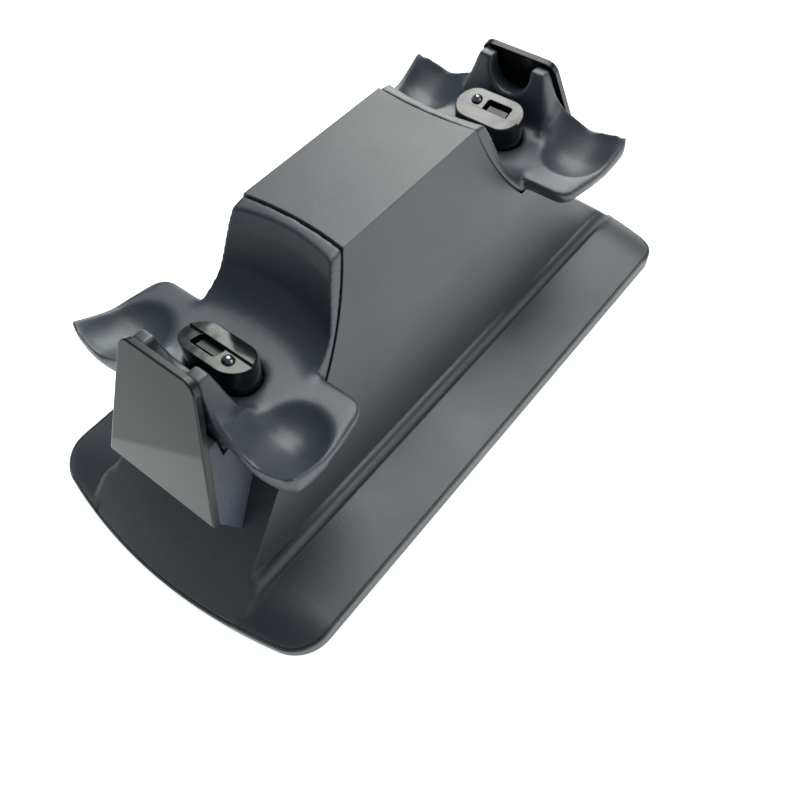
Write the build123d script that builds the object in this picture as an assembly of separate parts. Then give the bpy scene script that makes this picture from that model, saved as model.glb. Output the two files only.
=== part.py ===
from build123d import *
import math
import os

os.makedirs("parts", exist_ok=True)

# A desk dock that charges two game pads at once.
# X runs along the dock, +Y is the back, Z is up, the origin is under its middle on the table.

# Plan of the base
base_length = 197.6
base_width = 100.0
end_bulge_radius = 161.5
base_corner_radius = 11.25
foot_stand = 0.8

# Cross section of the body, half widths and heights above the table
overall_height = 77.3
top_half_width = 16.2
ridge_half_width = 27.2
ridge_height = 12.6
band_half_width = 30.6
rim_height = 5.4
rim_groove_inset = 0.45
rim_groove_width = 0.4
rim_groove_depth = 0.35
ledge_slope = 0.17
ledge_flat_inset = 18.8
ledge_end_radius = 26.0
ledge_end_turn = 52.0

# Sloping end decks, one large cone at each end, rising to the height of the shelf under the cradle
deck_meet_inset = 46.3
deck_rim_height = 2.0
deck_plan_radius = 233.0

# Walls, seams and fits
wall = 2.4
seam_gap = 0.4
slip_fit = 0.2
snug_fit = 0.1

# How far cutting blocks reach past the dock, above and below
cut_reach = 20.0

# Seam between the body and a cradle, an arc that runs in from the top down to the shelf
seam_inset = 73.9
seam_plan_radius = 98.0
seam_middle_drop = 13.6
seam_middle_reach = 5.1
seam_foot_reach = 16.0

# Cradle: a curved back wall that runs into a floor, two wings and a forked neck
# An inset is measured in from the end of the base, a drop from the top, a rise from the cradle floor
back_inset = 70.4
back_angle = 15.6
back_plan_radius = 55.6
cove_radius = 12.0
floor_drop = 25.3
floor_thickness = 5.3
tray_inner_inset = 54.4
tray_inset = 25.8
wing_knee_inset = 42.8
wing_inner_half_width = 35.7
wing_knee_half_width = 37.9
wing_outer_half_width = 40.2
wing_waist_drop = 1.7
wing_draft = 24.0
wing_inner_corner = 5.0
wing_outer_corner = 4.0
wing_bend_inset = 36.4
wing_bend_radius = 10.0
wing_ramp = 38.5
wing_tip_radius = 1.5
wing_depth = 8.0
scoop_radius = 12.8
scoop_end_radius = 11.4
scoop_wall = 4.5
scoop_inset = 37.3
scoop_y = 27.4
scoop_rise = 8.5
scoop_tilt = 9.0
prong_rise = 16.9
prong_outer_half_width = 11.3
prong_gap = 13.6
prong_depth = 3.7
prong_lean = 11.0
neck_shoulder_rise = 5.5
neck_shoulder_half_width = 15.5
notch_rise = 8.0
notch_tilt = 12.0

# Glossy end panel and the support behind it
panel_inset = 13.4
panel_foot_drop = 20.0
panel_top_rise = 18.8
panel_lean = 18.2
panel_foot_half_width = 19.5
panel_top_half_width = 12.4
panel_corner = 4.0
panel_thickness = 2.0
panel_edge = 0.5
support_inset = 32.8
support_lip_rise = 0.4
support_tray_gap = 0.5
support_flare = 0.22
chin_inset = 20.4
chin_sink = 0.7
support_bay_half_width = 7.0
support_bay_drop = 8.0
support_boss_length = 9.0

# Connector post and what it carries
post_inset = 42.2
post_length = 22.2
post_width = 11.4
post_rise = 7.9
post_tilt = 16.0
post_step = 0.6
post_step_offset = 1.2
post_flange = 1.2
post_flange_thickness = 1.5
post_edge = 0.4
pocket_width = 4.4
pocket_length = 8.6
pocket_depth = 2.6
pocket_middle = -2.2
pocket_corner = 0.9
contact_width = 2.9
contact_length = 6.6
contact_height = 1.5
contact_pin_radius = 0.6
peg_radius = 1.6
peg_offset = 1.5
peg_y = 5.4
peg_rise = 1.5
peg_depth = 3.0

# Boards, inlet and lamps
board_thickness = 1.6
small_board_width = 14.0
small_board_length = 35.6
main_board_length = 62.0
main_board_width = 38.0
main_board_height = 14.0
inlet_width = 9.0
inlet_height = 3.2
inlet_depth = 7.4
inlet_shell = 0.35
inlet_tongue = 0.7
inlet_recess = 0.4
inlet_back = 1.0
lamp_radius = 1.5
lamp_length = 5.0
lamp_rise = 6.0
lamp_dome = 0.7
lead_radius = 1.2
lead_bend = 6.0
lead_drop = 22.0

# Underside and fasteners
plate_thickness = 2.2
foot_radius = 6.0
foot_thickness = 2.0
foot_inset = 18.8
foot_side_inset = 17.0
boss_radius = 3.4
small_boss_radius = 2.0
screw_radius = 1.2
screw_head_radius = 2.4
screw_head_height = 1.4
screw_grip = 5.6
screw_web = 0.8
base_screw_inset = 18.8
base_screw_y = 16.0
cradle_screw_inset = 52.8
cradle_screw_y = 11.0
support_screw_inset = 28.3
support_screw_y = 10.5
small_screw_y = 15.4
board_screw_x = 26.0
board_screw_y = 14.5

half_length = base_length / 2
half_width = base_width / 2

# Places along the dock and heights above the table that follow from the sizes above
seam_top = half_length - seam_inset
back_top = half_length - back_inset
tray_inner = half_length - tray_inner_inset
tray_outer = half_length - tray_inset
wing_knee = half_length - wing_knee_inset
wing_bend = half_length - wing_bend_inset
scoop_start = half_length - scoop_inset
panel_foot = half_length - panel_inset
support_inner = half_length - support_inset
chin_foot = half_length - chin_inset
post_centre = half_length - post_inset
foot_x = half_length - foot_inset
foot_y = half_width - foot_side_inset
base_screw_x = half_length - base_screw_inset
cradle_screw_x = half_length - cradle_screw_inset
support_screw_x = half_length - support_screw_inset
floor_height = overall_height - floor_drop
shelf_height = floor_height - floor_thickness
wing_waist_height = floor_height - wing_waist_drop
scoop_start_height = floor_height + scoop_rise
prong_height = floor_height + prong_rise
neck_shoulder_height = floor_height + neck_shoulder_rise
notch_floor = floor_height + notch_rise
panel_foot_height = floor_height - panel_foot_drop
panel_top_height = floor_height + panel_top_rise
support_lip_height = floor_height + support_lip_rise
support_bay_height = floor_height - support_bay_drop
post_top = floor_height + post_rise
lamp_height = panel_foot_height + lamp_rise
lead_height = floor_height - lead_drop
side_slope = (ridge_half_width - top_half_width) / (overall_height - ridge_height)
deck_slope = (shelf_height - deck_rim_height) / deck_meet_inset
above = overall_height + cut_reach
below = -cut_reach
upright = (Align.CENTER, Align.CENTER, Align.MIN)
hanging = (Align.CENTER, Align.CENTER, Align.MAX)


def slab(x_low, x_high, half_y, low, high):
    size = (x_high - x_low, 2 * half_y, high - low)
    return Pos((x_low + x_high) / 2, 0, (low + high) / 2) * Box(*size)


def ledge_height(y):
    return rim_height + ledge_slope * (half_width - y)


def side_face(z):
    return top_half_width + side_slope * (overall_height - z)


def base_outline(inset):
    radius = end_bulge_radius - inset
    centre = half_length - end_bulge_radius
    outline = Rectangle(2 * base_length, base_width - 2 * inset)
    outline = outline & (Pos(centre, 0) * Circle(radius))
    outline = outline & (Pos(-centre, 0) * Circle(radius))
    return fillet(outline.vertices(), base_corner_radius - inset)


def outline_block(inset, low, high):
    return extrude(Pos(0, 0, low) * base_outline(inset), amount=high - low)


def deck_cone(side, inset):
    # Everything under one end deck, set back by inset along its surface normal
    shift = inset / math.sin(math.atan(deck_slope))
    radius_low = deck_plan_radius - shift + (deck_rim_height - below) / deck_slope
    radius_high = deck_plan_radius - shift + (deck_rim_height - above) / deck_slope
    cone = Cone(radius_low, radius_high, above - below, align=upright)
    return Pos(side * (half_length - deck_plan_radius), 0, below) * cone


def tower_prism(inset, low):
    # Body section: upright foot, rounded band up to the ridge, then the steep side face
    band = band_half_width - inset
    ridge = ridge_half_width - inset
    top = top_half_width - inset
    band_top = ledge_height(band_half_width) - inset
    ridge_top = ridge_height - inset
    roof = overall_height - inset
    bulge = math.sqrt(0.5)
    middle = (ridge + bulge * (band - ridge), band_top + bulge * (ridge_top - band_top))
    lower = Polyline((0, low), (band, low), (band, band_top))
    shoulder = ThreePointArc((band, band_top), middle, (ridge, ridge_top))
    upper = Polyline((ridge, ridge_top), (top, roof), (0, roof), (0, low))
    half = make_face(lower + shoulder + upper)
    section = half + mirror(half, Plane.YZ)
    return extrude(Plane.YZ * section, amount=base_length, both=True)


def plinth_half(side, inset, low):
    # Ledge along one long side: flat, then rolling down over both ends, tilted outwards
    start = band_half_width - wall - 2 * slip_fit
    top = ledge_height(start) - inset
    flat = half_length - ledge_flat_inset
    radius = ledge_end_radius - inset
    turn = math.radians(ledge_end_turn)
    reach = flat + radius * math.sin(turn)
    drop = top - radius * (1 - math.cos(turn))
    half_reach = flat + radius * math.sin(turn / 2)
    half_drop = top - radius * (1 - math.cos(turn / 2))
    roll_right = ThreePointArc((flat, top), (half_reach, half_drop), (reach, drop))
    roll_left = ThreePointArc((-reach, drop), (-half_reach, half_drop), (-flat, top))
    under = Polyline((reach, drop), (reach, below), (-reach, below), (-reach, drop))
    profile = make_face(Line((-flat, top), (flat, top)) + roll_right + under + roll_left)
    face = Pos(0, side * start, 0) * (Plane.XZ * profile)
    bed = extrude(face, amount=half_width, dir=(0, side, -ledge_slope))
    return bed & slab(-base_length, base_length, base_width, low, above)


def body_form(inset, low):
    core = slab(inset - tray_inner, tray_inner - inset, half_width, low, above)
    decks = (deck_cone(1, inset) & deck_cone(-1, inset)) + core
    tower = tower_prism(inset, low) & decks
    form = tower + plinth_half(1, inset, low) + plinth_half(-1, inset, low)
    return form & outline_block(inset, low, above)


def seam_block(side, grow, low):
    # Everything outside the seam: an arc turned about an upright axis beyond the end
    rim = seam_plan_radius + grow
    middle = (rim - seam_middle_reach, overall_height - seam_middle_drop)
    foot = (rim - seam_foot_reach, shelf_height)
    arc = ThreePointArc((rim, overall_height), middle, foot)
    rest = Polyline(foot, (foot[0], below), (0, below), (0, above), (rim, above), (rim, overall_height))
    block = revolve(Plane.XZ * make_face(arc + rest), Axis.Z)
    block = Pos(seam_top + seam_plan_radius, 0, 0) * block & slab(0, base_length, base_width, low, above)
    return Rot(0, 0, 90 - 90 * side) * block


def both_ends(shape):
    # The dock looks the same after half a turn about the upright axis
    return {"right": shape, "left": Rot(0, 0, 180) * shape}


def corners(x, y):
    return [(x, y), (-x, y), (x, -y), (-x, -y)]


def post_outline(grow):
    return Pos(post_centre, 0) * SlotOverall(post_length + 2 * grow, post_width + 2 * grow, rotation=90)


def pillar(x, y, low, high, radius):
    return Pos(x, y, low) * Cylinder(radius, high - low, align=upright)


def screw(x, y, seat, length, up):
    # Pan head under the seat when it drives upwards, on top of it when it drives downwards
    sign = 1 if up else -1
    head_middle = seat - sign * screw_head_height / 2
    shank_middle = seat + sign * length / 2
    head = Pos(x, y, head_middle) * Cylinder(screw_head_radius, screw_head_height)
    return head + Pos(x, y, shank_middle) * Cylinder(screw_radius, length)


# Heights that follow from the sizes above
plate_top = foot_stand + plate_thickness
shelf_under = shelf_height - wall
small_board_top = shelf_height - snug_fit - post_flange_thickness
small_board_under = small_board_top - board_thickness
main_board_top = main_board_height + board_thickness
board_hole_floor = main_board_height - screw_grip - slip_fit
inlet_middle = main_board_top + inlet_height / 2
inlet_mouth = side_face(inlet_middle + inlet_height / 2) - inlet_recess
support_deck = deck_rim_height + (half_length - support_screw_x) * deck_slope
support_seat = support_deck - support_boss_length
chin_foot_height = deck_rim_height + (half_length - chin_foot) * deck_slope - chin_sink

# End panel: a tapered plate on a leaning plane, glossy face outwards
lean = math.radians(panel_lean)
panel_normal = (math.cos(lean), 0, math.sin(lean))
panel_plane = Plane((panel_foot, 0, panel_foot_height), x_dir=(0, 1, 0), z_dir=panel_normal)
panel_rise = panel_top_height - panel_foot_height
panel_length = panel_rise / math.cos(lean)
panel_top = panel_foot - panel_rise * math.tan(lean)
panel_points = [
    (-panel_foot_half_width, 0),
    (panel_foot_half_width, 0),
    (panel_top_half_width, panel_length),
    (-panel_top_half_width, panel_length),
]
panel_sketch = Polygon(*panel_points, align=None)
panel_sketch = fillet(panel_sketch.vertices().sort_by(Axis.Y)[-2:], panel_corner)
end_panel = extrude(panel_plane * panel_sketch, amount=-panel_thickness)
panel_face = end_panel.faces().sort_by(lambda face: panel_plane.to_local_coords(face.center()).Z)[-1]
end_panel = fillet(panel_face.edges(), panel_edge)


def panel_back(z):
    return panel_foot - (z - panel_foot_height) * math.tan(lean) - panel_thickness / math.cos(lean)


# Support: fills the space between the panel, the cradle and the sloping end, chin under the panel
chin_top = panel_plane.from_local_coords(Vector(0, 0, -panel_thickness))
support_points = [
    (support_inner, shelf_height - snug_fit),
    (support_inner, 0),
    (chin_foot, chin_foot_height),
    (chin_top.X, chin_top.Z),
    (panel_back(support_lip_height), support_lip_height),
    (tray_outer + support_tray_gap, support_lip_height),
    (tray_outer + support_tray_gap, shelf_height - snug_fit),
]
panel_taper = panel_foot_half_width - panel_top_half_width
side_drop = (panel_taper - support_flare * (panel_foot - panel_top)) / panel_rise
panel_corner_point = (panel_foot, panel_foot_half_width, panel_foot_height)
support_side = Plane(panel_corner_point, z_dir=(-support_flare, 1, side_drop))
support_block = extrude(Plane.XZ * Polygon(*support_points, align=None), amount=half_width, both=True)
support_block = split(support_block, bisect_by=support_side, keep=Keep.BOTTOM)
support_block = support_block & mirror(support_block, Plane.XZ)
support_block = support_block - deck_cone(1, -snug_fit)
bay_back = support_inner + wall
bay_front = panel_back(support_bay_height) - wall
support_block = support_block - slab(bay_back, bay_front, support_bay_half_width, 0, support_bay_height)

# Lamp: a round lens through the support's front wall, close behind the panel
lamp_plane = panel_plane * Pos(0, (lamp_height - panel_foot_height) / math.cos(lean), -panel_thickness)
lamp_bore = lamp_plane * Cylinder(lamp_radius + slip_fit, 4 * lamp_length)
indicator_lamp = lamp_plane * Pos(0, 0, -slip_fit) * Cylinder(lamp_radius, lamp_length, align=hanging)
lamp_tip = indicator_lamp.faces().sort_by(Axis.X)[-1]
indicator_lamp = fillet(lamp_tip.edges(), lamp_radius * lamp_dome)
support_block = support_block - lamp_bore

# Cradle wall and floor: the tower outside the seam, hollowed by a bowl turned about an upright axis
back_slope = math.tan(math.radians(back_angle))
bowl_axis = back_top + back_plan_radius
cove_height = floor_height + cove_radius
cove_wall = back_plan_radius - (overall_height - cove_height) * back_slope
cove_centre = cove_wall - cove_radius / math.cos(math.radians(back_angle))
cove_end = math.radians(-back_angle)
cove_half = (cove_end - math.radians(90)) / 2


def cove_point(angle):
    return (cove_centre + cove_radius * math.cos(angle), cove_height + cove_radius * math.sin(angle))


cove_tip = cove_point(cove_end)
cove_middle = cove_point(cove_half)
bowl_rim = (back_plan_radius + (above - overall_height) * back_slope, above)
bowl_lines = Polyline(cove_tip, bowl_rim, (0, above), (0, floor_height), (cove_centre, floor_height))
bowl_profile = make_face(bowl_lines + ThreePointArc((cove_centre, floor_height), cove_middle, cove_tip))
bowl = Pos(bowl_axis, 0, 0) * revolve(Plane.XZ * bowl_profile, Axis.Z)
cradle_wall = tower_prism(0, 0) & seam_block(1, -seam_gap, shelf_height)
cradle_wall = cradle_wall & slab(0, post_centre, half_width, 0, above)
cradle_wall = cradle_wall - bowl

# Wings: one plate that is flat by the tower and sweeps up to the outer edge
wing_reach = tray_outer + wing_depth
wing_points = [
    (tray_inner, -wing_inner_half_width),
    (wing_knee, -wing_knee_half_width),
    (wing_reach, -wing_outer_half_width),
    (wing_reach, wing_outer_half_width),
    (wing_knee, wing_knee_half_width),
    (tray_inner, wing_inner_half_width),
]
wing_plan = Polygon(*wing_points, align=None)
wing_plan = fillet(wing_plan.vertices().sort_by(Axis.X)[:2], wing_inner_corner)
wing_upper = extrude(Pos(0, 0, wing_waist_height) * wing_plan, amount=above - wing_waist_height)
wing_lower = extrude(Pos(0, 0, wing_waist_height) * wing_plan, amount=-wing_depth, taper=wing_draft)
tip_plan = Pos(tray_outer - half_length, 0) * Rectangle(base_length, 2 * wing_outer_half_width)
tip_plan = fillet(tip_plan.vertices().sort_by(Axis.X)[-2:], wing_outer_corner)
wing_column = (wing_upper + wing_lower) & extrude(tip_plan, amount=above)
ramp_end = (tray_outer, floor_height + (tray_outer - wing_bend) * math.tan(math.radians(wing_ramp)))
bend_point = (wing_bend, floor_height)
roof_points = [(tray_inner, 0), (tray_inner, floor_height), bend_point, ramp_end, (tray_outer, 0)]
roof_sketch = Polygon(*roof_points, align=None)
roof_sketch = fillet(roof_sketch.vertices().sort_by_distance(bend_point)[0], wing_bend_radius)
roof_sketch = fillet(roof_sketch.vertices().sort_by(Axis.Y)[-1], wing_tip_radius)
band_sketch = roof_sketch - Pos(0, shelf_height - floor_height) * roof_sketch
wing_band = extrude(Plane.XZ * band_sketch, amount=half_width, both=True)
under_roof = extrude(Plane.XZ * roof_sketch, amount=half_width, both=True)


def scoop(side, grow):
    # Round trough with a ball end towards the tower, rising slightly outwards
    radius = scoop_radius + grow
    centre = (scoop_start, side * scoop_y, scoop_start_height)
    tilt = math.radians(scoop_tilt)
    axis = Plane(centre, x_dir=(0, 1, 0), z_dir=(math.cos(tilt), 0, math.sin(tilt)))
    run = tray_outer - scoop_start
    end_radius = radius + 2 * (scoop_end_radius - scoop_radius)
    trough = axis * Cone(radius, end_radius, 2 * run, align=upright)
    return trough + Pos(*centre) * Sphere(radius)


# Neck: two prongs with a round notch between them, flaring down into the floor
neck_front = tray_outer
prong_front = panel_back(prong_height) - seam_gap
prong_inner = prong_front - prong_depth
neck_inner = prong_inner - (prong_height - shelf_height) * math.tan(math.radians(prong_lean))
neck_side_points = [
    (prong_front, prong_height),
    (prong_inner, prong_height),
    (neck_inner, shelf_height),
    (neck_front, shelf_height),
    (neck_front, neck_shoulder_height),
]
neck_end_points = [
    (prong_outer_half_width, prong_height),
    (neck_shoulder_half_width, neck_shoulder_height),
    (neck_shoulder_half_width, shelf_height),
    (-neck_shoulder_half_width, shelf_height),
    (-neck_shoulder_half_width, neck_shoulder_height),
    (-prong_outer_half_width, prong_height),
]
neck = extrude(Plane.XZ * Polygon(*neck_side_points, align=None), amount=half_width, both=True)
neck = neck & extrude(Plane.YZ * Polygon(*neck_end_points, align=None), amount=base_length, both=True)
notch_radius = prong_gap / 2
notch_middle = (prong_inner, 0, notch_floor + notch_radius)
notch_round = Cylinder(notch_radius, 4 * prong_depth, rotation=(0, 90 + notch_tilt, 0))
notch_open = Pos(0, 0, notch_radius) * Box(4 * prong_depth, prong_gap, 2 * notch_radius)
notch = Pos(*notch_middle) * (notch_round + notch_open)

cradle = cradle_wall + (wing_column & wing_band) + neck
for side in (1, -1):
    cradle = cradle + (scoop(side, scoop_wall) & wing_column & under_roof)
for side in (1, -1):
    cradle = cradle - scoop(side, 0)
cradle = cradle - notch
cradle = cradle - extrude(post_outline(slip_fit), amount=above)
for y in (small_screw_y, -small_screw_y):
    cradle = cradle + pillar(post_centre, y, small_board_top, shelf_height, small_boss_radius)
    cradle = cradle - pillar(post_centre, y, 0, small_board_top + screw_grip, screw_radius + snug_fit)
for y in (cradle_screw_y, -cradle_screw_y):
    hole_top = shelf_under + screw_grip + slip_fit
    cradle = cradle - pillar(cradle_screw_x, y, 0, hole_top, screw_radius + snug_fit)

# Main housing: one shell with pockets for the cradles
housing = body_form(0, foot_stand)
groove = outline_block(rim_groove_inset, 0, above)
groove = groove - outline_block(rim_groove_inset + rim_groove_width, 0, above)
groove = groove - Pos(0, 0, -rim_groove_depth) * body_form(0, below)
housing = housing - groove
hollow = body_form(wall, 0)
for side in (1, -1):
    housing = housing - seam_block(side, 0, shelf_height)
    hollow = hollow - seam_block(side, wall, shelf_under)
outer = housing
housing = housing - hollow
for x, y in corners(base_screw_x, base_screw_y):
    housing = housing + (pillar(x, y, plate_top, above, boss_radius) & outer)
for x, y in corners(support_screw_x, support_screw_y):
    housing = housing + (pillar(x, y, support_seat, above, boss_radius) & outer)
for x, y in corners(base_screw_x, base_screw_y):
    housing = housing - pillar(x, y, 0, plate_top + screw_grip + slip_fit, screw_radius + snug_fit)
for x, y in corners(support_screw_x, support_screw_y):
    housing = housing - pillar(x, y, 0, above, screw_radius + slip_fit)
for x, y in corners(cradle_screw_x, cradle_screw_y):
    housing = housing - pillar(x, y, plate_top, above, screw_radius + slip_fit)
opening_low = post_centre - small_board_width / 2 - slip_fit
opening_high = post_centre + small_board_width / 2 + slip_fit
opening_half = small_board_length / 2 + slip_fit
opening = slab(opening_low, opening_high, opening_half, plate_top, above)
lamp_opening = slab(bay_back, bay_front, support_bay_half_width, plate_top, above)
for turn in (0, 180):
    housing = housing - Rot(0, 0, turn) * opening
    housing = housing - Rot(0, 0, turn) * lamp_opening
inlet_hole = SlotOverall(inlet_width + 2 * slip_fit, inlet_height + 2 * slip_fit)
inlet_plane = Plane((0, inlet_mouth - inlet_depth, inlet_middle), x_dir=(1, 0, 0), z_dir=(0, 1, 0))
housing = housing - extrude(inlet_plane * inlet_hole, amount=2 * inlet_depth)

# Base plate, with bosses for the main board and recesses for the feet
base_plate = body_form(wall + slip_fit, foot_stand)
base_plate = base_plate & slab(-half_length, half_length, half_width, foot_stand, plate_top)
for x, y in corners(board_screw_x, board_screw_y):
    base_plate = base_plate + pillar(x, y, foot_stand, main_board_height, boss_radius)
    base_plate = base_plate - pillar(x, y, board_hole_floor, above, screw_radius + snug_fit)
for x, y in corners(foot_x, foot_y):
    base_plate = base_plate - pillar(x, y, 0, foot_thickness, foot_radius + slip_fit)
for x, y in corners(base_screw_x, base_screw_y):
    base_plate = base_plate - pillar(x, y, 0, above, screw_radius + slip_fit)
    base_plate = base_plate - pillar(x, y, 0, plate_top - screw_web, screw_head_radius + slip_fit)

# Connector post: a stadium with a flange below the floor, its tilted top stepped and pocketed
tilt = math.radians(post_tilt)
post_plane = Plane(
    (post_centre, 0, post_top),
    x_dir=(math.cos(tilt), 0, math.sin(tilt)),
    z_dir=(-math.sin(tilt), 0, math.cos(tilt)),
)
post = extrude(Pos(0, 0, small_board_top) * post_outline(0), amount=above - small_board_top)
post = split(post, bisect_by=post_plane, keep=Keep.BOTTOM)
post = fillet(post.faces().sort_by(Axis.Z)[-1].edges(), post_edge)
flange_outline = Pos(0, 0, small_board_top) * post_outline(post_flange)
post = post + extrude(flange_outline, amount=post_flange_thickness)
low_part = Box(post_length, 2 * post_length, post_length, align=(Align.MIN, Align.CENTER, Align.MIN))
post = post - post_plane * Pos(-post_step_offset, 0, -post_step) * low_part
pocket_place = post_plane * Pos(pocket_width / 2 - post_step_offset, pocket_middle, -post_step)
pocket_sketch = RectangleRounded(pocket_width, pocket_length, pocket_corner)
post = post - pocket_place * extrude(pocket_sketch, amount=-pocket_depth)
contact_shift = snug_fit + contact_width / 2 - pocket_width / 2
contact_place = pocket_place * Pos(contact_shift, 0, -pocket_depth)
pin_x = contact_place.position.X
pin_top = contact_place.position.Z + contact_height / 2
post = post - pillar(pin_x, pocket_middle, 0, pin_top, contact_pin_radius + snug_fit)
peg_place = post_plane * Pos(peg_offset, peg_y, -post_step)
post = post - peg_place * Cylinder(peg_radius + snug_fit, peg_depth, align=hanging)

# Contact: a tongue in the pocket, against its wall by the tower, with a pin down to the connector board
contact = contact_place * extrude(Rectangle(contact_width, contact_length), amount=contact_height)
contact = contact + pillar(pin_x, pocket_middle, small_board_top, pin_top, contact_pin_radius)

# Locating peg with a ball end
locating_peg = peg_place * Cylinder(peg_radius, peg_depth, align=hanging)
locating_peg = locating_peg + peg_place * Pos(0, 0, peg_rise - peg_radius) * Sphere(peg_radius)

# Boards
board_low = post_centre - small_board_width / 2
board_high = post_centre + small_board_width / 2
connector_board = slab(board_low, board_high, small_board_length / 2, small_board_under, small_board_top)
for y in (small_screw_y, -small_screw_y):
    connector_board = connector_board - pillar(post_centre, y, 0, above, screw_radius + slip_fit)
board_reach = main_board_length / 2
main_board = slab(-board_reach, board_reach, main_board_width / 2, main_board_height, main_board_top)
for x, y in corners(board_screw_x, board_screw_y):
    main_board = main_board - pillar(x, y, 0, above, screw_radius + slip_fit)

# Power inlet: a small flat socket at the back edge of the main board
inlet_body = extrude(inlet_plane * SlotOverall(inlet_width, inlet_height), amount=inlet_depth)
inlet_inside = SlotOverall(inlet_width - 2 * inlet_shell, inlet_height - 2 * inlet_shell)
inlet_space = Pos(0, inlet_back, 0) * extrude(inlet_plane * inlet_inside, amount=inlet_depth)
inlet_blade_sketch = Rectangle(inlet_width - inlet_height, inlet_tongue)
inlet_blade = extrude(inlet_plane * inlet_blade_sketch, amount=inlet_depth - inlet_back)
power_inlet = inlet_body - inlet_space + inlet_blade

# Lead from the main board up to a connector board
lead_start = board_screw_x - 2 * boss_radius
lead_points = [
    (lead_start, 0, main_board_top),
    (lead_start, 0, lead_height),
    (post_centre, 0, lead_height),
    (post_centre, 0, small_board_under),
]
lead_path = FilletPolyline(*lead_points, radius=lead_bend)
lead_section = Plane(lead_path @ 0, z_dir=lead_path % 0) * Circle(lead_radius)
lead = sweep(lead_section, path=lead_path)

# Fasteners
support_screw_length = support_deck - support_seat + screw_grip
base_screw_length = screw_web + screw_grip
board_screw_length = board_thickness + screw_grip
base_screws = [
    screw(x, y, plate_top - screw_web, base_screw_length, True)
    for x, y in corners(base_screw_x, base_screw_y)
]
cradle_screws = [
    screw(x, y, shelf_under, screw_grip, True)
    for x, y in corners(cradle_screw_x, cradle_screw_y)
]
support_screws = [
    screw(x, y, support_seat, support_screw_length, True)
    for x, y in corners(support_screw_x, support_screw_y)
]
main_board_screws = [
    screw(x, y, main_board_top, board_screw_length, False)
    for x, y in corners(board_screw_x, board_screw_y)
]
small_board_screws = [
    screw(x, y, small_board_under, board_screw_length, True)
    for x, y in corners(post_centre, small_screw_y)
]
for y in (support_screw_y, -support_screw_y):
    hole_top = support_deck + screw_grip + slip_fit
    support_block = support_block - pillar(support_screw_x, y, 0, hole_top, screw_radius + snug_fit)

nodes = {
    "main_housing": housing,
    "base_plate": base_plate,
    "main_board": main_board,
    "power_inlet": power_inlet,
}
ends = {
    "cradle": cradle,
    "support": support_block,
    "end_panel": end_panel,
    "connector_post": post,
    "contact": contact,
    "locating_peg": locating_peg,
    "connector_board": connector_board,
    "indicator_lamp": indicator_lamp,
    "lead": lead,
}
for name, shape in ends.items():
    for side, placed in both_ends(shape).items():
        nodes[name + "_" + side] = placed
for number, (x, y) in enumerate(corners(foot_x, foot_y), start=1):
    nodes["foot_" + str(number)] = pillar(x, y, 0, foot_thickness, foot_radius)
nodes["base_screws"] = Compound(children=base_screws)
nodes["cradle_screws"] = Compound(children=cradle_screws)
nodes["support_screws"] = Compound(children=support_screws)
nodes["board_screws"] = Compound(children=main_board_screws + small_board_screws)

for name, shape in nodes.items():
    export_step(shape, "parts/" + name + ".step")
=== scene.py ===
import math

import bmesh
import bpy
import numpy as np
from mathutils import Matrix, Vector


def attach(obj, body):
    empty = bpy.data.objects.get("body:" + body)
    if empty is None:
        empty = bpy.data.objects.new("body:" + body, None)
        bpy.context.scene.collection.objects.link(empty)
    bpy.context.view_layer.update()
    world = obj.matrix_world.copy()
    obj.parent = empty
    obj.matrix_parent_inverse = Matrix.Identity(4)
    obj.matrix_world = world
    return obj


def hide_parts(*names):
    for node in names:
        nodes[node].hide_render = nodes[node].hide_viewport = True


# Desk dock that charges two game pads. Metres, X along the dock, +Y the back, Z up.

mm = 0.001

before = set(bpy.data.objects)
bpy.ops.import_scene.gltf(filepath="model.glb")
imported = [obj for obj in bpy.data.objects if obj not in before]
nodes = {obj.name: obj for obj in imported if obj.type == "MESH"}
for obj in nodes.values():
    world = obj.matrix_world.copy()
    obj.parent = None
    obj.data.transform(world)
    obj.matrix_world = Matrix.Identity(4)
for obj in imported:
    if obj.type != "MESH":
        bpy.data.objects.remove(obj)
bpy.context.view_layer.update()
print("frame loaded:", len(nodes), "nodes")


def linear(hexColour):
    # sRGB hex to linear red, green, blue, alpha
    srgb = np.array([int(hexColour[i:i + 2], 16) for i in (1, 3, 5)]) / 255
    light = np.where(srgb <= 0.04045, srgb / 12.92, ((srgb + 0.055) / 1.055) ** 2.4)
    return (*light.tolist(), 1.0)


def perMetre(sizeMm):
    # texture scale that gives a feature of this size, on coordinates in metres
    return 1000 / sizeMm


def addNode(tree, kind, inputs=None, **settings):
    # one node with its settings; an input takes a plain value or another node's output
    node = tree.nodes.new(kind)
    for name, value in settings.items():
        setattr(node, name, value)
    for key, value in (inputs or {}).items():
        if isinstance(value, bpy.types.NodeSocket):
            tree.links.new(value, node.inputs[key])
        else:
            node.inputs[key].default_value = value
    return node


def newMaterial(name):
    material = bpy.data.materials.new(name)
    material.use_nodes = True
    tree = material.node_tree
    tree.nodes.clear()
    place = addNode(tree, "ShaderNodeTexCoord").outputs["Object"]
    return material, tree, place


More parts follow.
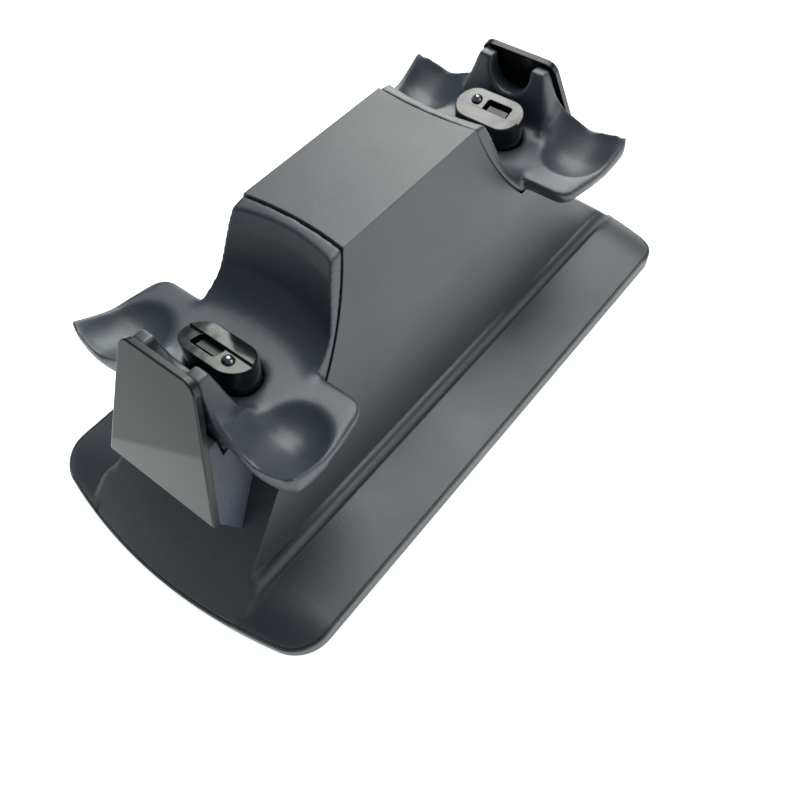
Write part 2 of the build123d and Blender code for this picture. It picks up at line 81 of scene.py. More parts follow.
def sparkAbs(name, look):
    # ABS from a spark-eroded mould: dull and even, with a fine grain that breaks up every highlight,
    # slight clouds of tone, and edges painted paler: a painted highlight along them, with a little wear
    material, tree, place = newMaterial(name)
    grain = addNode(tree, "ShaderNodeTexNoise", {
        "Vector": place, "Scale": perMetre(look["grainMm"]), "Detail": 2.0, "Roughness": 0.6})
    cloud = addNode(tree, "ShaderNodeTexNoise", {
        "Vector": place, "Scale": perMetre(look["cloudMm"]), "Detail": 3.0, "Roughness": 0.55})
    rounded = addNode(tree, "ShaderNodeBevel", {"Radius": look["edgeMm"] * mm}, samples=4)
    if "foot" in look:
        # a wider round where the ends of the ledges run into the sloping ends
        spread = addNode(tree, "ShaderNodeVectorMath", {0: place}, operation="ABSOLUTE")
        parts = addNode(tree, "ShaderNodeSeparateXYZ", {"Vector": spread.outputs["Vector"]})
        along = addNode(tree, "ShaderNodeMapRange", {
            "Value": parts.outputs["X"], "From Min": look["foot"]["fromMm"] * mm,
            "From Max": look["foot"]["toMm"] * mm})
        aside = addNode(tree, "ShaderNodeMapRange", {
            "Value": parts.outputs["Y"], "From Min": look["foot"]["asideMm"] * mm,
            "From Max": (look["foot"]["asideMm"] + look["foot"]["asideFadeMm"]) * mm})
        clear = addNode(tree, "ShaderNodeMapRange", {
            "Value": parts.outputs["Z"], "From Min": look["foot"]["rimMm"] * mm,
            "From Max": look["foot"]["clearMm"] * mm})
        within = addNode(tree, "ShaderNodeMath", {
            0: along.outputs["Result"], 1: aside.outputs["Result"]}, operation="MULTIPLY")
        both = addNode(tree, "ShaderNodeMath", {
            0: within.outputs["Value"], 1: clear.outputs["Result"]}, operation="MULTIPLY")
        radius = addNode(tree, "ShaderNodeMapRange", {
            "Value": both.outputs["Value"], "To Min": look["edgeMm"] * mm,
            "To Max": look["foot"]["edgeMm"] * mm})
        tree.links.new(radius.outputs["Result"], rounded.inputs["Radius"])
    straight = addNode(tree, "ShaderNodeNewGeometry")
    turned = addNode(tree, "ShaderNodeVectorMath", {
        0: rounded.outputs["Normal"], 1: straight.outputs["Normal"]}, operation="DOT_PRODUCT")
    # paler towards the edges, where the rounded normal turns from the true one: a painted edge highlight
    # with a little wear
    wearAndSheen = addNode(tree, "ShaderNodeMapRange", {
        "Value": turned.outputs["Value"], "From Min": 0.75, "From Max": 0.99,
        "To Min": look["wearAndSheen"], "To Max": 0.0})
    tone = addNode(tree, "ShaderNodeMix", {
        0: cloud.outputs["Fac"], 6: linear(look["dark"]), 7: linear(look["pale"])}, data_type="RGBA")
    speck = addNode(tree, "ShaderNodeMapRange", {
        "Value": grain.outputs["Fac"], "From Min": 0.3, "From Max": 0.7,
        "To Min": 1 - look["speck"], "To Max": 1 + look["speck"]})
    grained = addNode(tree, "ShaderNodeVectorMath", {
        0: tone.outputs[2], 3: speck.outputs["Result"]}, operation="SCALE")
    colour = addNode(tree, "ShaderNodeMix", {
        0: wearAndSheen.outputs["Result"], 6: grained.outputs["Vector"],
        7: linear(look["edge"])}, data_type="RGBA")
    rough = addNode(tree, "ShaderNodeMapRange", {
        "Value": cloud.outputs["Fac"], "From Min": 0.3, "From Max": 0.7,
        "To Min": look["roughness"] - 0.05, "To Max": look["roughness"] + 0.05})
    bump = addNode(tree, "ShaderNodeBump", {
        "Height": grain.outputs["Fac"], "Strength": look["grainStrength"],
        "Distance": look["grainDepthMm"] * mm, "Normal": rounded.outputs["Normal"]})
    shader = addNode(tree, "ShaderNodeBsdfPrincipled", {
        "Base Color": colour.outputs[2], "Roughness": rough.outputs["Result"], "IOR": 1.54,
        "Specular IOR Level": look["specular"], "Normal": bump.outputs["Normal"]})
    addNode(tree, "ShaderNodeOutputMaterial", {"Surface": shader.outputs["BSDF"]})
    return material


def polishedAbs(name, look):
    # ABS from a polished mould: deep black gloss with a slight waviness, a haze of wiping marks
    # and a few dust specks
    material, tree, place = newMaterial(name)
    wave = addNode(tree, "ShaderNodeTexNoise", {
        "Vector": place, "Scale": perMetre(look["waveMm"]), "Detail": 1.0})
    wiped = addNode(tree, "ShaderNodeMapping", {
        "Vector": place, "Scale": (1.0, 0.15, 1.0), "Rotation": (0.3, 0.2, 0.5)})
    haze = addNode(tree, "ShaderNodeTexNoise", {
        "Vector": wiped.outputs["Vector"], "Scale": perMetre(look["hazeMm"]),
        "Detail": 4.0, "Roughness": 0.7})
    dust = addNode(tree, "ShaderNodeTexVoronoi", {"Vector": place, "Scale": perMetre(look["dustMm"])})
    specks = addNode(tree, "ShaderNodeMapRange", {
        "Value": dust.outputs["Distance"], "From Min": 0.02, "From Max": 0.05,
        "To Min": look["dust"], "To Max": 0.0})
    colour = addNode(tree, "ShaderNodeMix", {
        0: specks.outputs["Result"], 6: linear(look["colour"]), 7: linear("#6e7072")}, data_type="RGBA")
    rough = addNode(tree, "ShaderNodeMapRange", {
        "Value": haze.outputs["Fac"], "From Min": 0.35, "From Max": 0.75,
        "To Min": look["roughness"], "To Max": look["roughness"] + look["haze"]})
    gloss = rough.outputs["Result"]
    if "faces" in look:
        # only the broad face is polished, its edges are satin as they leave the mould
        shape = addNode(tree, "ShaderNodeNewGeometry")
        spread = addNode(tree, "ShaderNodeVectorMath", {
            0: shape.outputs["True Normal"]}, operation="ABSOLUTE")
        facing = addNode(tree, "ShaderNodeVectorMath", {
            0: spread.outputs["Vector"], 1: look["faces"]}, operation="DOT_PRODUCT")
        satin = addNode(tree, "ShaderNodeMapRange", {
            "Value": facing.outputs["Value"], "From Min": 0.90, "From Max": 0.97,
            "To Min": look["satin"], "To Max": 0.0})
        duller = addNode(tree, "ShaderNodeMath", {0: gloss, 1: satin.outputs["Result"]}, operation="MAXIMUM")
        gloss = duller.outputs["Value"]
    rounded = addNode(tree, "ShaderNodeBevel", {"Radius": look["edgeMm"] * mm}, samples=4)
    bump = addNode(tree, "ShaderNodeBump", {
        "Height": wave.outputs["Fac"], "Strength": 1.0, "Distance": look["waveDepthMm"] * mm,
        "Normal": rounded.outputs["Normal"]})
    shader = addNode(tree, "ShaderNodeBsdfPrincipled", {
        "Base Color": colour.outputs[2], "Roughness": gloss, "IOR": 1.54,
        "Normal": bump.outputs["Normal"]})
    addNode(tree, "ShaderNodeOutputMaterial", {"Surface": shader.outputs["BSDF"]})
    return material


def plate(name, look):
    # bare or plated metal: fine drawn lines along one way, and a slow drift of tone
    material, tree, place = newMaterial(name)
    drawn = addNode(tree, "ShaderNodeMapping", {"Vector": place, "Scale": look["lineStretch"]})
    lines = addNode(tree, "ShaderNodeTexNoise", {
        "Vector": drawn.outputs["Vector"], "Scale": perMetre(look["lineMm"]),
        "Detail": 3.0, "Roughness": 0.65})
    drift = addNode(tree, "ShaderNodeTexNoise", {
        "Vector": place, "Scale": perMetre(look["driftMm"]), "Detail": 2.0})
    colour = addNode(tree, "ShaderNodeMix", {
        0: drift.outputs["Fac"], 6: linear(look["dark"]), 7: linear(look["pale"])}, data_type="RGBA")
    rough = addNode(tree, "ShaderNodeMapRange", {
        "Value": lines.outputs["Fac"], "From Min": 0.3, "From Max": 0.7,
        "To Min": look["roughness"] - 0.05, "To Max": look["roughness"] + 0.08})
    bump = addNode(tree, "ShaderNodeBump", {
        "Height": lines.outputs["Fac"], "Strength": 0.2, "Distance": look["lineDepthMm"] * mm})
    shader = addNode(tree, "ShaderNodeBsdfPrincipled", {
        "Base Color": colour.outputs[2], "Roughness": rough.outputs["Result"], "Metallic": 1.0,
        "Normal": bump.outputs["Normal"]})
    addNode(tree, "ShaderNodeOutputMaterial", {"Surface": shader.outputs["BSDF"]})
    return material


def rubber(name, look):
    # moulded rubber or soft vinyl: nearly black, dry, with a pale bloom in patches
    material, tree, place = newMaterial(name)
    grain = addNode(tree, "ShaderNodeTexNoise", {
        "Vector": place, "Scale": perMetre(look["grainMm"]), "Detail": 3.0})
    bloom = addNode(tree, "ShaderNodeTexNoise", {
        "Vector": place, "Scale": perMetre(look["bloomMm"]), "Detail": 4.0})
    colour = addNode(tree, "ShaderNodeMix", {
        0: bloom.outputs["Fac"], 6: linear(look["dark"]), 7: linear(look["pale"])}, data_type="RGBA")
    rough = addNode(tree, "ShaderNodeMapRange", {
        "Value": bloom.outputs["Fac"], "From Min": 0.3, "From Max": 0.7,
        "To Min": look["roughness"] - 0.08, "To Max": look["roughness"] + 0.08})
    bump = addNode(tree, "ShaderNodeBump", {
        "Height": grain.outputs["Fac"], "Strength": 0.3, "Distance": look["grainDepthMm"] * mm})
    shader = addNode(tree, "ShaderNodeBsdfPrincipled", {
        "Base Color": colour.outputs[2], "Roughness": rough.outputs["Result"], "IOR": 1.52,
        "Normal": bump.outputs["Normal"]})
    addNode(tree, "ShaderNodeOutputMaterial", {"Surface": shader.outputs["BSDF"]})
    return material


def solderMask(name, look):
    # glass-fibre board under green solder mask: paler where copper tracks run below, weave just showing
    material, tree, place = newMaterial(name)
    tracks = addNode(tree, "ShaderNodeTexBrick", {
        "Vector": place, "Scale": perMetre(look["trackMm"]), "Color1": linear(look["dark"]),
        "Color2": linear(look["pale"]), "Mortar": linear(look["gap"]), "Mortar Size": 0.03})
    weave = addNode(tree, "ShaderNodeTexWave", {
        "Vector": place, "Scale": perMetre(look["weaveMm"])}, bands_direction="DIAGONAL")
    rough = addNode(tree, "ShaderNodeMapRange", {
        "Value": weave.outputs["Fac"], "To Min": look["roughness"] - 0.05,
        "To Max": look["roughness"] + 0.05})
    bump = addNode(tree, "ShaderNodeBump", {
        "Height": weave.outputs["Fac"], "Strength": 0.1, "Distance": look["weaveDepthMm"] * mm})
    shader = addNode(tree, "ShaderNodeBsdfPrincipled", {
        "Base Color": tracks.outputs["Color"], "Roughness": rough.outputs["Result"],
        "Normal": bump.outputs["Normal"]})
    addNode(tree, "ShaderNodeOutputMaterial", {"Surface": shader.outputs["BSDF"]})
    return material


def clearLens(name, look):
    # clear acrylic: see-through with a slight frost from the mould
    material, tree, place = newMaterial(name)
    frost = addNode(tree, "ShaderNodeTexNoise", {
        "Vector": place, "Scale": perMetre(look["frostMm"]), "Detail": 2.0})
    rough = addNode(tree, "ShaderNodeMapRange", {
        "Value": frost.outputs["Fac"], "To Min": 0.05, "To Max": look["roughness"]})
    shader = addNode(tree, "ShaderNodeBsdfPrincipled", {
        "Base Color": linear(look["colour"]), "Roughness": rough.outputs["Result"], "IOR": 1.49,
        "Transmission Weight": 0.9})
    addNode(tree, "ShaderNodeOutputMaterial", {"Surface": shader.outputs["BSDF"]})
    return material


# the mould's grain is about a tenth of a millimetre; it is drawn coarser here, so that it shows in a render
shellLook = {
    # the edge colour and its share are painted along edges: a painted highlight with a little wear
    "dark": "#2f3236", "pale": "#36393d", "edge": "#62666a", "wearAndSheen": 0.30, "speck": 0.16,
    "roughness": 0.42, "specular": 0.75, "edgeMm": 0.5,
    "grainMm": 0.7, "grainDepthMm": 0.08, "grainStrength": 0.4, "cloudMm": 35.0,
}
cradleLook = dict(shellLook, dark="#343a41", pale="#3d434a", roughness=0.40)
supportLook = dict(shellLook, dark="#565a64", pale="#646873", roughness=0.44, speck=0.2)
underLook = dict(shellLook, dark="#2d3033", pale="#343739", roughness=0.55, specular=0.5)
shellLook["foot"] = {
    "fromMm": 79.0, "toMm": 85.0, "asideMm": 24.0, "asideFadeMm": 3.0,
    "rimMm": 3.2, "clearMm": 4.4, "edgeMm": 3.0,
}
panelLook = {
    "colour": "#16181a", "roughness": 0.03, "edgeMm": 0.3, "dust": 0.25, "dustMm": 6.0,
    "waveMm": 9.0, "waveDepthMm": 0.003, "hazeMm": 14.0, "haze": 0.04,
    "faces": (0.95, 0.0, 0.312), "satin": 0.3,
}
postLook = dict(
    panelLook, colour="#15171a", roughness=0.08, haze=0.08, waveMm=5.0, waveDepthMm=0.06, dust=0.1)
del postLook["faces"]
contactLook = {
    "dark": "#3a3c3e", "pale": "#4a4b4c", "roughness": 0.30, "driftMm": 3.0,
    "lineMm": 0.25, "lineDepthMm": 0.01, "lineStretch": (1.0, 0.05, 1.0),
}
chromeLook = {
    "dark": "#7e8286", "pale": "#989b9e", "roughness": 0.16, "driftMm": 2.0,
    "lineMm": 0.4, "lineDepthMm": 0.004, "lineStretch": (1.0, 1.0, 0.2),
}
inletLook = {
    "dark": "#85878a", "pale": "#a0a2a5", "roughness": 0.30, "driftMm": 4.0,
    "lineMm": 0.3, "lineDepthMm": 0.01, "lineStretch": (0.05, 1.0, 1.0),
}
zincLook = {
    "dark": "#6c6e70", "pale": "#86888a", "roughness": 0.38, "driftMm": 1.5,
    "lineMm": 0.3, "lineDepthMm": 0.01, "lineStretch": (1.0, 1.0, 1.0),
}
footLook = {
    "dark": "#1b1c1d", "pale": "#2a2b2c", "roughness": 0.75,
    "grainMm": 0.5, "grainDepthMm": 0.04, "bloomMm": 5.0,
}
sleeveLook = {
    "dark": "#141516", "pale": "#1e1f20", "roughness": 0.45,
    "grainMm": 0.8, "grainDepthMm": 0.02, "bloomMm": 8.0,
}
boardLook = {
    "dark": "#14492a", "pale": "#1b5a34", "gap": "#0f3c22", "roughness": 0.35,
    "trackMm": 3.0, "weaveMm": 0.6, "weaveDepthMm": 0.02,
}
lensLook = {"colour": "#e6eaec", "roughness": 0.2, "frostMm": 0.4}

shellPlastic = sparkAbs("ABS_spark_texture_shell", shellLook)
cradlePlastic = sparkAbs("ABS_spark_texture_cradle", cradleLook)
supportPlastic = sparkAbs("ABS_spark_texture_support", supportLook)
underPlastic = sparkAbs("ABS_spark_texture_underside", underLook)
panelPlastic = polishedAbs("ABS_polished_panel", panelLook)
postPlastic = polishedAbs("ABS_polished_post", postLook)
contactMetal = plate("nickel_plated_contact", contactLook)
pegMetal = plate("chrome_plated_peg", chromeLook)
inletMetal = plate("drawn_steel_inlet", inletLook)
screwMetal = plate("zinc_plated_screw", zincLook)
footRubber = rubber("moulded_rubber_foot", footLook)
sleeveVinyl = rubber("soft_vinyl_sleeve", sleeveLook)
boardMask = solderMask("solder_mask_board", boardLook)
lampLens = clearLens("clear_acrylic_lens", lensLook)
print("materials made:", len(bpy.data.materials))

finishes = {
    "main_housing": shellPlastic,
    "base_plate": underPlastic,
    "main_board": boardMask,
    "power_inlet": inletMetal,
    "cradle": cradlePlastic,
    "support": supportPlastic,
    "end_panel": panelPlastic,
    "connector_post": postPlastic,
    "contact": contactMetal,
    "locating_peg": pegMetal,
    "connector_board": boardMask,
    "indicator_lamp": lampLens,
    "lead": sleeveVinyl,
    "foot": footRubber,
    "base_screws": screwMetal,
    "cradle_screws": screwMetal,
    "support_screws": screwMetal,
    "board_screws": screwMetal,
}


def finishOf(nodeName):
    # a paired or numbered node takes the finish of its family
    if nodeName in finishes:
        return finishes[nodeName]
    return finishes[nodeName.rsplit("_", 1)[0]]


for nodeName, node in nodes.items():
    for slot in node.material_slots:
        slot.material = finishOf(nodeName)
print("finishes given to the solids")


def addPiece(name, mesh, material, slotName, *replaced):
    # a new piece at the origin, riding on the dock and standing for the solids it names
    mesh.materials.clear()
    mesh.materials.append(material)
    mesh.polygons.foreach_set("use_smooth", np.ones(len(mesh.polygons), dtype=bool))
    mesh.update()
    piece = bpy.data.objects.new(name, mesh)
    bpy.context.scene.collection.objects.link(piece)
    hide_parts(*replaced)
    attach(piece, "root")
    return piece


def turnedMesh(name, profile, centres, sides, rise=None):
    # a profile of (radius, height) rows turned about an upright axis at each centre: x = cx + r cos t,
    # y = cy + r sin t, z = h, with rise(x, y, r) added to the height where it is given; poles are merged
    angle = np.linspace(0, 2 * np.pi, sides, endpoint=False)
    radius, height = profile[:, :1], profile[:, 1:]
    x, y = radius * np.cos(angle), radius * np.sin(angle)
    z = height + np.zeros_like(x)
    if rise is not None:
        z = z + rise(x, y, np.arange(len(profile))[:, None])
    ring = np.stack([x, y, z], axis=-1)
    spots = np.array(centres)[:, None, None, :]
    points = (ring[None] + spots).reshape(-1, 3)
    rows, turns = np.meshgrid(np.arange(len(profile) - 1), np.arange(sides), indexing="ij")
    nextTurn = (turns + 1) % sides
    quads = np.stack([rows * sides + turns, rows * sides + nextTurn,
                      (rows + 1) * sides + nextTurn, (rows + 1) * sides + turns], axis=-1).reshape(-1, 4)
    steps = np.arange(len(centres))[:, None, None] * ring.shape[0] * sides
    faces = (quads[None] + steps).reshape(-1, 4)
    mesh = bpy.data.meshes.new(name)
    mesh.from_pydata(points.tolist(), [], faces.tolist())
    shape = bmesh.new()
    shape.from_mesh(mesh)
    bmesh.ops.remove_doubles(shape, verts=shape.verts, dist=1e-6)
    bmesh.ops.recalc_face_normals(shape, faces=shape.faces)
    shape.to_mesh(mesh)
    shape.free()
    return mesh


# cradles: an even grid, and how far rims and inner corners are rounded; the wall by the tower keeps
# its crisp seam
cradleForm = {
    "gridMm": 0.38, "rounds": 40, "step": 0.5, "wallShare": 0.14, "wallEndMm": 42.0, "trayStartMm": 47.0,
    "prongShare": 0.35, "prongFromMm": 62.5, "prongHalfMm": 12.5,
    "tipStartMm": 62.4, "tipZ": 52.3, "tipSlope": 0.54, "tipFromY": 16.0,
    "bandFromMm": 25.0, "bandWidthMm": 6.0, "bandSlope": 0.2, "bandZ": 72.0, "bandFadeZ": 5.0,
    "rimRounds": 70, "rimFromMm": 64.0, "rimFadeMm": 5.0, "rimFromY": 15.0, "rimFadeY": 4.0,
}
# mouth of a wing's scoop, in mm: the dish rises towards its outer end, which bows outwards in plan
mouthForm = {
    "startX": 61.5, "endX": 74.4, "bow": 2.0, "bowHalf": 11.0, "axisY": 27.8, "fromY": 14.5, "toY": 38.4,
    "startZ": 47.4, "rise": 6.2, "bend": 1.4, "sagRadius": 13.3, "underZ": 3.2,
    "wallRadius": 12.9, "wallZ": 62.0, "wallDrop": 1.6, "acrossSteps": 30, "outSteps": 24,
}


def wingMouth(form, signX, signY):
    # a closed slab: its top is z = start + rise * u^bend + (y - axis)^2 / (2 sag), with u running outwards,
    # and its bottom lies inside the wing below; the loop round the slab is carried along u and closed to a
    # point at both ends
    across = np.linspace(form["fromY"], form["toY"], form["acrossSteps"])
    u = np.linspace(0, 1, form["outSteps"])[:, None]
    end = form["endX"] - form["bow"] * ((across - form["axisY"]) / form["bowHalf"]) ** 2
    x = form["startX"] + u * (end - form["startX"])
    y = across + np.zeros_like(x)
    sag = (y - form["axisY"]) ** 2 / (2 * form["sagRadius"])
    top = form["startZ"] + form["rise"] * u ** form["bend"] + sag
    inside = np.clip(form["wallRadius"] ** 2 - (y - form["axisY"]) ** 2, 0, None)
    wall = form["wallZ"] - (1 - u) * form["wallDrop"] - np.sqrt(inside)
    bottom = np.minimum(wall, top - form["underZ"])
    upper = np.stack([x, y, top], axis=-1)
    lower = np.stack([x, y, bottom], axis=-1)[:, ::-1]
    loop = np.concatenate([upper, lower], axis=1)
    first, last = (row.mean(axis=0) + np.zeros_like(row) for row in (loop[0], loop[-1]))
    loop = np.concatenate([first[None], loop, last[None]]) * np.array([signX, signY, 1.0]) * mm
    count = loop.shape[1]
    rows, steps = np.meshgrid(np.arange(len(loop) - 1), np.arange(count), indexing="ij")
    after = (steps + 1) % count
    quads = np.stack([rows * count + steps, rows * count + after, (rows + 1) * count + after,
                      (rows + 1) * count + steps], axis=-1)
    return loop.reshape(-1, 3), quads.reshape(-1, 4)


def evenSkin(mesh, gridMm):
    # the outer skin of all that the mesh holds, on an even grid
    work = bpy.data.objects.new("cradleWork", mesh)
    bpy.context.scene.collection.objects.link(work)
    grid = work.modifiers.new("grid", "REMESH")
    grid.mode = "VOXEL"
    grid.voxel_size = gridMm * mm
    ready = work.evaluated_get(bpy.context.evaluated_depsgraph_get())
    skin = bpy.data.meshes.new_from_object(ready)
    bpy.data.objects.remove(work)
    bpy.data.meshes.remove(mesh)
    return skin


def pointsOf(mesh):
    points = np.empty(len(mesh.vertices) * 3)
    mesh.vertices.foreach_get("co", points)
    return points.reshape(-1, 3)


def relaxedCradle(nodeName, form):
    # the solid's skin on an even grid, each point drawn towards the mean of its neighbours, more on the tray
    # and wings than on the wall and prongs, so that edges become rounds as the mould leaves them
    mesh = nodes[nodeName].data.copy()
    shape = bmesh.new()
    shape.from_mesh(mesh)
    signX = 1.0 if nodeName.endswith("right") else -1.0
    for signY in (1.0, -1.0):
        mouthPoints, mouthFaces = wingMouth(mouthForm, signX, signY)
        mouth = bpy.data.meshes.new("mouth")
        mouth.from_pydata(mouthPoints.tolist(), [], mouthFaces.tolist())
        shape.from_mesh(mouth)
        bpy.data.meshes.remove(mouth)
    bmesh.ops.remove_doubles(shape, verts=shape.verts, dist=1e-7)
    bmesh.ops.recalc_face_normals(shape, faces=shape.faces)
    shape.to_mesh(mesh)
    shape.free()
    skin = evenSkin(mesh, form["gridMm"])
    points = pointsOf(skin)
    reach = np.abs(points[:, 0]) / mm
    # the tips end lower than the ramp under them, and the band along the top of the wall leans away
    # from the seam
    tip = form["tipZ"] + form["tipSlope"] * (reach - form["tipStartMm"])
    isTip = (reach > form["tipStartMm"]) & (np.abs(points[:, 1]) / mm > form["tipFromY"])
    points[:, 2] = np.where(isTip, np.minimum(points[:, 2], tip * mm), points[:, 2])
    top = np.clip((points[:, 2] / mm - form["bandZ"]) / form["bandFadeZ"], 0, 1)
    top = top * (reach < form["wallEndMm"])
    lean = form["bandSlope"] * np.clip(reach - form["bandFromMm"], 0, form["bandWidthMm"])
    points[:, 2] -= top * lean * mm
    skin.vertices.foreach_set("co", points.ravel())
    skin = evenSkin(skin, form["gridMm"])
    count = len(skin.vertices)
    points = pointsOf(skin)
    ends = np.empty(len(skin.edges) * 2, dtype=int)
    skin.edges.foreach_get("vertices", ends)
    ends = ends.reshape(-1, 2)
    both = np.concatenate([ends, ends[:, ::-1]])
    valence = np.bincount(both[:, 0], minlength=count)
    reach = np.abs(points[:, 0]) / mm
    blend = np.clip((reach - form["wallEndMm"]) / (form["trayStartMm"] - form["wallEndMm"]), 0, 1)
    share = form["wallShare"] + (1 - form["wallShare"]) * blend
    prong = (points[:, 2] / mm > form["prongFromMm"]) & (np.abs(points[:, 1]) / mm < form["prongHalfMm"])
    share = np.where(prong & (blend > 0.5), form["prongShare"], share)[:, None]
    # the outer ends of the wings are drawn further, to blunt rims
    rim = np.clip((reach - form["rimFromMm"]) / form["rimFadeMm"], 0, 1)
    rim = rim * np.clip((np.abs(points[:, 1]) / mm - form["rimFromY"]) / form["rimFadeY"], 0, 1)
    for turn in range(form["rounds"] + form["rimRounds"]):
        if turn == form["rounds"]:
            share = rim[:, None]
        sums = [np.bincount(both[:, 0], points[both[:, 1], axis], count) for axis in range(3)]
        total = np.stack(sums, axis=-1)
        points = points + form["step"] * share * (total / valence[:, None] - points)
    skin.vertices.foreach_set("co", points.ravel())
    return skin


for end in ("left", "right"):
    cradleSkin = relaxedCradle("cradle_" + end, cradleForm)
    addPiece("cradle_shell_" + end, cradleSkin, cradlePlastic, "matte_shell", "cradle_" + end)
    print("cradle", end, "made:", len(cradleSkin.polygons), "faces")

# four rubber feet, in mm: a low drum with a rounded rim and a shallow dish below
feet = {"radius": 6.0, "height": 2.0, "round": 0.5, "dishRadius": 4.6, "dish": 0.35, "sides": 72,
        "at": [(-80.0, -33.0), (80.0, -33.0), (-80.0, 33.0), (80.0, 33.0)]}


def footProfile(form):
    # from the middle of the dish out to the rim, round it and up to the middle of the top
    turn = np.linspace(-np.pi / 2, 0, 9)
    rim = np.stack([form["radius"] - form["round"] * (1 - np.cos(turn)),
                    form["round"] * (1 + np.sin(turn))], axis=-1)
    dish = np.linspace(0, form["dishRadius"], 12)
    hollow = np.stack([dish, form["dish"] * (1 - (dish / form["dishRadius"]) ** 6)], axis=-1)
    roof = np.array([(form["radius"], form["height"]), (0.0, form["height"])])
    return np.concatenate([hollow, rim, roof]) * mm


for number, (footX, footY) in enumerate(feet["at"], 1):
    footMesh = turnedMesh("foot", footProfile(feet), [(footX * mm, footY * mm, 0.0)], feet["sides"])
    addPiece("rubber_foot_%d" % number, footMesh, footRubber, "foot_rubber", "foot_%d" % number)
print("feet made")

# base screws, in mm: flat pan heads with a cross recess, and a plain shank above
screws = {
    "headRadius": 2.4, "headLow": 0.8, "headHigh": 2.2, "round": 0.4, "shankRadius": 1.2, "shankHigh": 8.6,
    "crossHalf": 0.35, "crossReach": 1.3, "crossDepth": 0.8, "crossEase": 0.1, "faceRows": 40, "sides": 96,
    "at": [(-80.0, -16.0), (80.0, -16.0), (-80.0, 16.0), (80.0, 16.0)],
}


def crossRecess(x, y, row):
    # a cross sunk into the face: full depth within the arms, easing out over a tenth of a millimetre
    arm = np.minimum(np.abs(x), np.abs(y)) / mm
    far = np.maximum(np.abs(x), np.abs(y)) / mm
    inArm = np.clip((screws["crossHalf"] - arm) / screws["crossEase"] + 0.5, 0, 1)
    inReach = np.clip((screws["crossReach"] - far) / screws["crossEase"] + 0.5, 0, 1)
    return inArm * inReach * screws["crossDepth"] * mm * (row < screws["faceRows"])


def screwProfile(form):
    # out along the face, round the rim, in under the head and up the shank
    outward = np.linspace(0, form["headRadius"] - form["round"], form["faceRows"])
    face = np.stack([outward, np.full_like(outward, form["headLow"])], axis=-1)
    turn = np.linspace(-np.pi / 2, 0, 8)[1:]
    rim = np.stack([form["headRadius"] - form["round"] * (1 - np.cos(turn)),
                    form["headLow"] + form["round"] * (1 + np.sin(turn))], axis=-1)
    rest = np.array([(form["headRadius"], form["headHigh"]), (form["shankRadius"], form["headHigh"]),
                     (form["shankRadius"], form["shankHigh"]), (0.0, form["shankHigh"])])
    return np.concatenate([face, rim, rest]) * mm


screwSpots = [(x * mm, y * mm, 0.0) for x, y in screws["at"]]
screwMesh = turnedMesh("base_screw_heads", screwProfile(screws), screwSpots, screws["sides"], crossRecess)
addPiece("base_screw_heads", screwMesh, screwMetal, "screw_steel", "base_screws")
print("base screws made")

# camera at the photo's angle, lens in mm on a 36 mm square frame
shot = {
    "eye": (-0.123229, -0.117737, 0.212249), "azimuth": -47.91, "elevation": 54.61,
    "roll": -4.43, "lens": 37.29,
}


def placeCamera(shot):
    azimuth, elevation, roll = (math.radians(shot[key]) for key in ("azimuth", "elevation", "roll"))
    back = Vector((
        math.sin(azimuth) * math.cos(elevation),
        -math.cos(azimuth) * math.cos(elevation),
        math.sin(elevation)))
    levelRight = Vector((0, 0, 1)).cross(back).normalized()
    levelUp = back.cross(levelRight)
    right = levelRight * math.cos(roll) + levelUp * math.sin(roll)
    up = back.cross(right)
    camera = bpy.data.objects.new("camera", bpy.data.cameras.new("camera"))
    bpy.context.scene.collection.objects.link(camera)
    turn = Matrix((right, up, back)).transposed().to_4x4()
    camera.matrix_world = Matrix.Translation(shot["eye"]) @ turn
    camera.data.sensor_width = 36.0
    camera.data.lens = shot["lens"]
    camera.data.clip_start = 0.01
    bpy.context.scene.camera = camera


placeCamera(shot)

# soft boxes: where each stands, what it faces, its size in metres and its power in watts
softBoxes = {
    "topBox": {"at": (0.46, 0.18, 0.96), "size": 0.9, "power": 9.8, "colour": "#ffffff"},
    "endBox": {"at": (0.955, 0.53, 0.52), "size": 0.54, "power": 4.8, "colour": "#f7fff4"},
    "frontBox": {"at": (0.36, -1.0, 0.42), "size": 0.5, "power": 2.2, "colour": "#f6f9ff"},
    "smallBox": {"at": (0.303, 0.403, 0.82), "size": 0.09, "power": 0.15, "colour": "#fffef6"},
}
roomLight = {"colour": "#d6e4f6", "strength": 0.23}
# the glow is stronger on the dock's side of one straight line, which the end panel mirrors
floorLook = {
    "half": 4.0, "colour": "#f2f2f2", "fibreMm": 2.0,
    "glowColour": "#f8fff9", "glowNear": 0.90, "glowFar": 0.34,
    "lineAcross": (0.763, -0.648, 0.0), "lineAtMm": -134.5, "lineSoftMm": 1.2,
}


def placeLights(boxes, room):
    aim = Vector((0, 0, 0.04))  # about the middle of the dock's height
    for name, box in boxes.items():
        lamp = bpy.data.lights.new(name, "AREA")
        lamp.shape = "SQUARE"
        lamp.size = box["size"]
        lamp.energy = box["power"]
        lamp.color = linear(box["colour"])[:3]
        holder = bpy.data.objects.new(name, lamp)
        bpy.context.scene.collection.objects.link(holder)
        holder.location = box["at"]
        holder.rotation_euler = (Vector(box["at"]) - aim).to_track_quat("Z", "Y").to_euler()
    world = bpy.data.worlds.new("room")
    world.use_nodes = True
    bpy.context.scene.world = world
    backdrop = world.node_tree.nodes["Background"]
    backdrop.inputs["Color"].default_value = linear(room["colour"])
    backdrop.inputs["Strength"].default_value = room["strength"]


placeLights(softBoxes, roomLight)


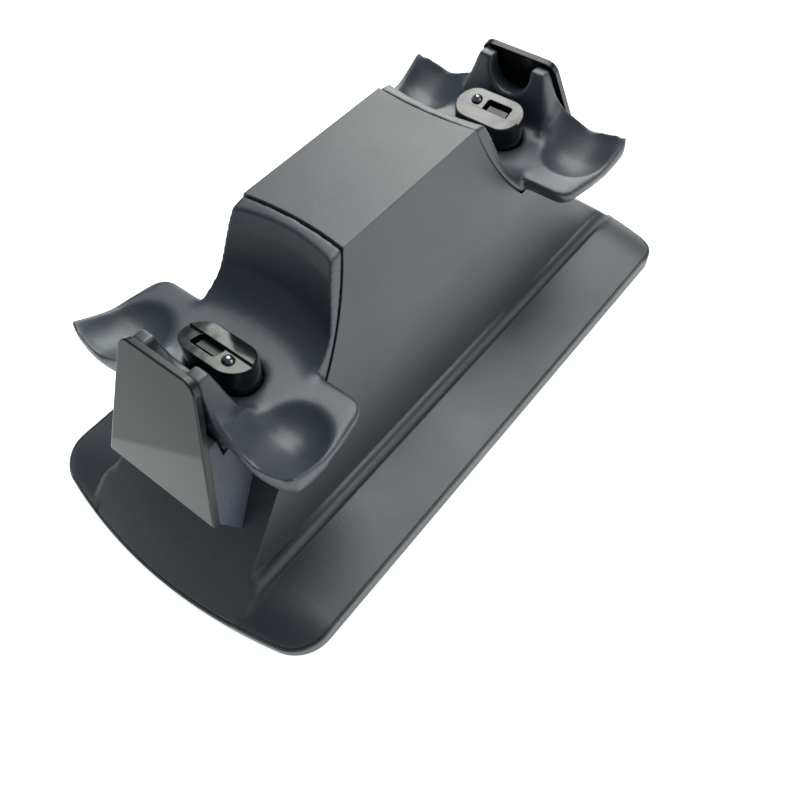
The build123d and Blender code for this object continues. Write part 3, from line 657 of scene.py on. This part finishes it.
def layFloor(look):
    # one square at table height; what the camera sees of it glows, so that it stays white and keeps a
    # soft shadow
    half = look["half"]
    corners = np.array([(-half, -half, 0), (half, -half, 0), (half, half, 0), (-half, half, 0)])
    mesh = bpy.data.meshes.new("floor")
    mesh.from_pydata(corners.tolist(), [], [(0, 1, 2, 3)])
    floor = bpy.data.objects.new("floor", mesh)
    bpy.context.scene.collection.objects.link(floor)
    material, tree, place = newMaterial("white_paper_sweep")
    fibre = addNode(tree, "ShaderNodeTexNoise", {
        "Vector": place, "Scale": perMetre(look["fibreMm"]), "Detail": 2.0})
    rough = addNode(tree, "ShaderNodeMapRange", {
        "Value": fibre.outputs["Fac"], "To Min": 0.85, "To Max": 0.95})
    ray = addNode(tree, "ShaderNodeLightPath")
    direct = addNode(tree, "ShaderNodeMath", {
        0: ray.outputs["Is Camera Ray"], 1: ray.outputs["Is Glossy Ray"]}, operation="MAXIMUM")
    seen = addNode(tree, "ShaderNodeMath", {
        0: direct.outputs["Value"], 1: ray.outputs["Is Transmission Ray"]}, operation="MAXIMUM")
    across = addNode(tree, "ShaderNodeVectorMath", {
        0: place, 1: look["lineAcross"]}, operation="DOT_PRODUCT")
    near = addNode(tree, "ShaderNodeMapRange", {
        "Value": across.outputs["Value"], "From Min": (look["lineAtMm"] - look["lineSoftMm"]) * mm,
        "From Max": (look["lineAtMm"] + look["lineSoftMm"]) * mm,
        "To Min": look["glowFar"], "To Max": look["glowNear"]})
    glow = addNode(tree, "ShaderNodeMath", {
        0: seen.outputs["Value"], 1: near.outputs["Result"]}, operation="MULTIPLY")
    paper = addNode(tree, "ShaderNodeBsdfPrincipled", {
        "Base Color": linear(look["colour"]), "Roughness": rough.outputs["Result"],
        "Specular IOR Level": 0.0,
        "Emission Color": linear(look["glowColour"]), "Emission Strength": glow.outputs["Value"]})
    addNode(tree, "ShaderNodeOutputMaterial", {"Surface": paper.outputs["BSDF"]})
    mesh.materials.append(material)


layFloor(floorLook)
bpy.context.scene.view_settings.view_transform = "Standard"
print("camera, lights and floor placed")
